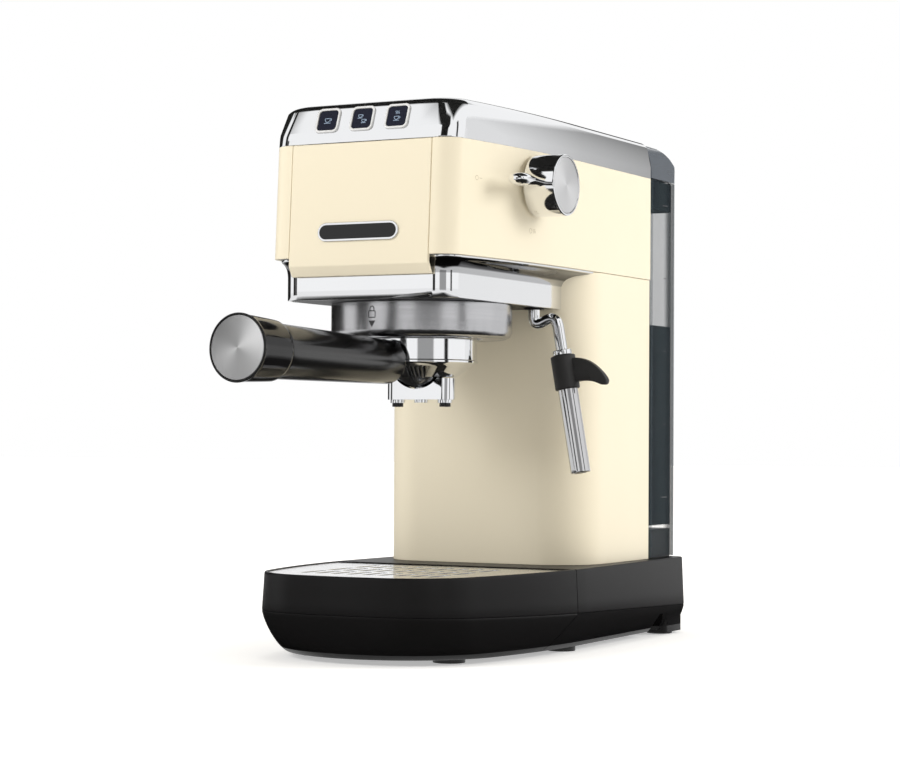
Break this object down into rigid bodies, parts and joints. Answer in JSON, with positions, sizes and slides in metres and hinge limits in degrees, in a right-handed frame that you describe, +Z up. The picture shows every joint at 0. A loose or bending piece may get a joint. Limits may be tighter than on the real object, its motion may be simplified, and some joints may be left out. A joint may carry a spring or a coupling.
{
  "type": "espresso machine",
  "caption": "Slim pump espresso machine: rounded body with warming top, bayonet portafilter, swinging steam wand, lever steam knob, push keys, pull-out drip tray and lift-out rear water tank",
  "frame": {"origin": "on the counter, in the plane of symmetry, midway between the base's front and rear edges", "axes": "+Z up, -Y towards the user, +X the steam wand's side"},
  "size_m": [0.1742, 0.393, 0.3083],
  "materials": {
    "cream_shell": "high gloss cream",
    "chrome_plate": "mirror chrome",
    "brushed_group": "brushed",
    "polished_steel": "polished",
    "brushed_alu": "radially brushed",
    "black_satin": "fine satin grain",
    "black_gloss": "high gloss",
    "key_plastic": "smooth, with printed pictogram",
    "key_frame": "bright",
    "black_rubber": "matt",
    "red_rubber": "matt",
    "smoked_clear": "clear smoked plastic",
    "lid_plastic": "smoked, glossy",
    "inner_plastic": "moulded",
    "cast_alu": "cast",
    "brass_valve": "turned",
    "circuit_board": "lacquered",
    "silicone_hose": "translucent silicone"
  },
  "bodies": {
    "machine": {"base_housing": "black_satin", "base_pan": "black_satin", "rear_feet": "black_rubber", "cord_gland": "black_satin", "column_shell": "cream_shell", "head_shell": "cream_shell", "head_floor": "inner_plastic", "front_panel": "cream_shell", "back_plate": "black_satin", "chrome_cap": "chrome_plate", "top_plate": "polished_steel", "button_frames": "key_frame", "button_board": "circuit_board", "chrome_collar": "chrome_plate", "group_surround": "black_satin", "group_ring": "brushed_group", "group_gasket": "red_rubber", "shower_screen": "polished_steel", "screen_screw": "polished_steel", "boiler": "cast_alu", "thermostats": "cast_alu", "group_bolts": "polished_steel", "pump": "inner_plastic", "pump_mount": "black_rubber", "control_board": "circuit_board", "steam_valve": "brass_valve", "suction_hose": "silicone_hose", "pressure_hose": "silicone_hose", "steam_pipe": "polished_steel", "tank_coupling": "black_rubber", "housing_screws": "polished_steel", "wand_socket": "black_satin"},
    "one_cup_key": {"one_cup_button": "key_plastic"},
    "two_cup_key": {"two_cup_button": "key_plastic"},
    "steam_key": {"steam_button": "key_plastic"},
    "knob": {"steam_knob": "chrome_plate", "knob_disc": "brushed_group", "valve_spindle": "polished_steel"},
    "wand": {"wand_tube": "chrome_plate", "wand_nut": "chrome_plate", "wand_grip": "black_satin", "steam_nozzle": "polished_steel"},
    "sleeve": {"frother_sleeve": "polished_steel"},
    "portafilter": {"portafilter_body": "chrome_plate", "filter_basket": "polished_steel", "basket_spring": "polished_steel", "coffee_spout": "chrome_plate", "spout_tips": "black_gloss", "handle_grip": "black_satin", "handle_cap": "black_gloss", "handle_disc": "brushed_alu", "handle_bolt": "polished_steel"},
    "drip_tray": {"tray_bowl": "black_satin", "tray_frame": "black_satin", "tray_feet": "black_rubber"},
    "grid": {"cup_grid": "polished_steel"},
    "tank": {"water_tank": "smoked_clear", "tank_valve": "black_rubber"},
    "lid": {"tank_lid": "lid_plastic"}
  },
  "joints": [
    {"name": "one_cup_press", "type": "slide", "parent": "machine", "child": "one_cup_key", "axis": [0, 0.9397, -0.342], "range_m": [0, 0.0012], "stiffness_N_per_m": 900, "springref_m": -0.001},
    {"name": "two_cup_press", "type": "slide", "parent": "machine", "child": "two_cup_key", "axis": [0, 0.9397, -0.342], "range_m": [0, 0.0012], "stiffness_N_per_m": 900, "springref_m": -0.001},
    {"name": "steam_press", "type": "slide", "parent": "machine", "child": "steam_key", "axis": [0, 0.9397, -0.342], "range_m": [0, 0.0012], "stiffness_N_per_m": 900, "springref_m": -0.001},
    {"name": "knob_turn", "type": "hinge", "parent": "machine", "child": "knob", "pos_m": [0.07, -0.0507, 0.2648], "axis": [1, 0, 0], "range_deg": [0, 90]},
    {"name": "wand_swing", "type": "hinge", "parent": "machine", "child": "wand", "pos_m": [0.046, -0.0075, 0.2], "axis": [0, 0, 1], "range_deg": [-60, 30]},
    {"name": "sleeve_pull", "type": "slide", "parent": "wand", "child": "sleeve", "axis": [0.1736, 0, -0.9848], "range_m": [0, 0.046]},
    {"name": "portafilter_lock", "type": "hinge", "parent": "machine", "child": "portafilter", "pos_m": [0, -0.06, 0.19], "axis": [0, 0, 1], "range_deg": [-50, 0]},
    {"name": "tray_slide", "type": "slide", "parent": "machine", "child": "drip_tray", "axis": [0, -1, 0], "range_m": [0, 0.15]},
    {"name": "grid_lift", "type": "slide", "parent": "drip_tray", "child": "grid", "axis": [0, 0, 1], "range_m": [0, 0.045]},
    {"name": "tank_lift", "type": "slide", "parent": "machine", "child": "tank", "axis": [0, 0, 1], "range_m": [0, 0.26]},
    {"name": "lid_hinge", "type": "hinge", "parent": "tank", "child": "lid", "pos_m": [0, 0.152, 0.2883], "axis": [-1, 0, 0], "range_deg": [0, 95]}
  ]
}
